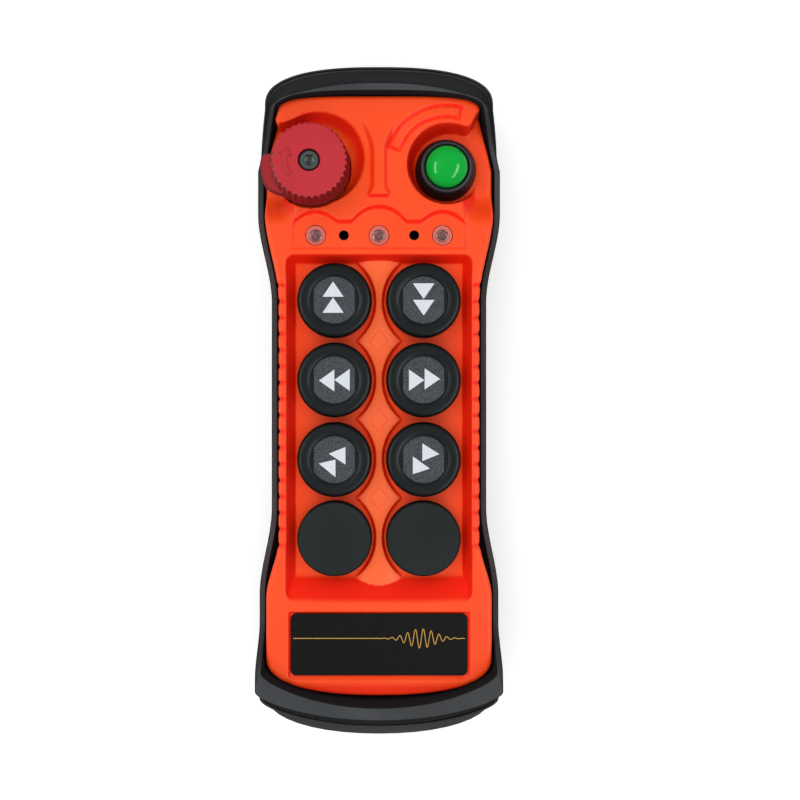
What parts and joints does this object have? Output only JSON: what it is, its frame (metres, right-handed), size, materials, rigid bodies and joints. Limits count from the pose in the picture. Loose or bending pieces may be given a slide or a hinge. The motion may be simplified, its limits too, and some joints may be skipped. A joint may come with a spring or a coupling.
{
  "type": "hand-held control station",
  "caption": "Cordless hand-held control station with arrow push buttons in a sunk pocket, a start button, an emergency stop, a rubber bumper and a sliding battery door.",
  "frame": {"origin": "middle of the rest plane, under the middle of the whole box", "axes": "the station lies on its back: +Z out of the front, +Y towards the emergency stop end, +X to the right"},
  "size_m": [0.0776, 0.2144, 0.0567],
  "materials": {
    "orange_plastic": "fine satin moulding",
    "black_plastic": "fine textured moulding",
    "bumper_rubber": "matte",
    "cap_rubber": "smooth satin",
    "legend_grey": "coarse grained with white arrows",
    "stop_red": "matte",
    "collar_red": "matte",
    "start_green": "glossy",
    "lamp_clear": "clear",
    "label_black": "satin film",
    "gasket_rubber": "matte",
    "screw_steel": "black oxide",
    "bright_steel": "nickel plated",
    "board_green": "solder mask",
    "nylon_white": "natural nylon",
    "cell_jacket": "printed jacket"
  },
  "bodies": {
    "housing": {"front_shell": "orange_plastic", "rear_shell": "black_plastic", "bumper": "bumper_rubber", "shell_gasket": "gasket_rubber", "battery_left": "cell_jacket", "battery_right": "cell_jacket", "contact_leaf_left": "bright_steel", "contact_leaf_right": "bright_steel", "contact_bridge": "bright_steel", "main_board": "board_green", "radio_module": "bright_steel", "antenna": "bright_steel", "sounder": "black_plastic", "label_plate": "label_black", "blank_plug_left": "cap_rubber", "blank_plug_right": "cap_rubber", "status_lamp_left": "lamp_clear", "status_lamp_middle": "lamp_clear", "status_lamp_right": "lamp_clear", "estop_barrel": "black_plastic", "estop_nut": "bright_steel", "estop_contact_block": "black_plastic", "start_bezel": "black_plastic", "start_nut": "bright_steel", "start_contact_block": "black_plastic", "shell_screw_1": "screw_steel", "shell_screw_2": "screw_steel", "shell_screw_3": "screw_steel", "shell_screw_4": "screw_steel", "up_button_switch": "black_plastic", "down_button_switch": "black_plastic", "left_button_switch": "black_plastic", "right_button_switch": "black_plastic", "back_button_switch": "black_plastic", "forward_button_switch": "black_plastic"},
    "up_button": {"up_button_cap": "cap_rubber", "up_button_legend": "legend_grey", "up_button_plunger": "nylon_white"},
    "down_button": {"down_button_cap": "cap_rubber", "down_button_legend": "legend_grey", "down_button_plunger": "nylon_white"},
    "left_button": {"left_button_cap": "cap_rubber", "left_button_legend": "legend_grey", "left_button_plunger": "nylon_white"},
    "right_button": {"right_button_cap": "cap_rubber", "right_button_legend": "legend_grey", "right_button_plunger": "nylon_white"},
    "back_button": {"back_button_cap": "cap_rubber", "back_button_legend": "legend_grey", "back_button_plunger": "nylon_white"},
    "forward_button": {"forward_button_cap": "cap_rubber", "forward_button_legend": "legend_grey", "forward_button_plunger": "nylon_white"},
    "start_button": {"start_dome": "start_green"},
    "estop_shaft": {"estop_shaft": "bright_steel", "estop_screw": "screw_steel"},
    "estop_head": {"estop_head": "stop_red", "estop_collar": "collar_red"},
    "battery_door": {"battery_door": "black_plastic"}
  },
  "joints": [
    {"name": "up_press", "type": "slide", "parent": "housing", "child": "up_button", "axis": [0, 0, -1], "range_m": [0, 0.0032], "stiffness_N_per_m": 700, "springref_m": -0.0015},
    {"name": "down_press", "type": "slide", "parent": "housing", "child": "down_button", "axis": [0, 0, -1], "range_m": [0, 0.0032], "stiffness_N_per_m": 700, "springref_m": -0.0015},
    {"name": "left_press", "type": "slide", "parent": "housing", "child": "left_button", "axis": [0, 0, -1], "range_m": [0, 0.0032], "stiffness_N_per_m": 700, "springref_m": -0.0015},
    {"name": "right_press", "type": "slide", "parent": "housing", "child": "right_button", "axis": [0, 0, -1], "range_m": [0, 0.0032], "stiffness_N_per_m": 700, "springref_m": -0.0015},
    {"name": "back_press", "type": "slide", "parent": "housing", "child": "back_button", "axis": [0, 0, -1], "range_m": [0, 0.0032], "stiffness_N_per_m": 700, "springref_m": -0.0015},
    {"name": "forward_press", "type": "slide", "parent": "housing", "child": "forward_button", "axis": [0, 0, -1], "range_m": [0, 0.0032], "stiffness_N_per_m": 700, "springref_m": -0.0015},
    {"name": "start_press", "type": "slide", "parent": "housing", "child": "start_button", "axis": [0, 0, -1], "range_m": [0, 0.0022], "stiffness_N_per_m": 800, "springref_m": -0.0015},
    {"name": "estop_press", "type": "slide", "parent": "housing", "child": "estop_shaft", "axis": [0, 0, -1], "range_m": [0, 0.0042], "stiffness_N_per_m": 900, "springref_m": -0.002},
    {"name": "estop_turn", "type": "hinge", "parent": "estop_shaft", "child": "estop_head", "pos_m": [-0.0208, 0.07165, 0.05], "axis": [0, 0, -1], "range_deg": [0, 45], "stiffness_Nm_per_rad": 0.05, "springref_deg": -5.73},
    {"name": "door_slide", "type": "slide", "parent": "housing", "child": "battery_door", "axis": [0, -1, 0], "range_m": [0, 0.07]}
  ]
}
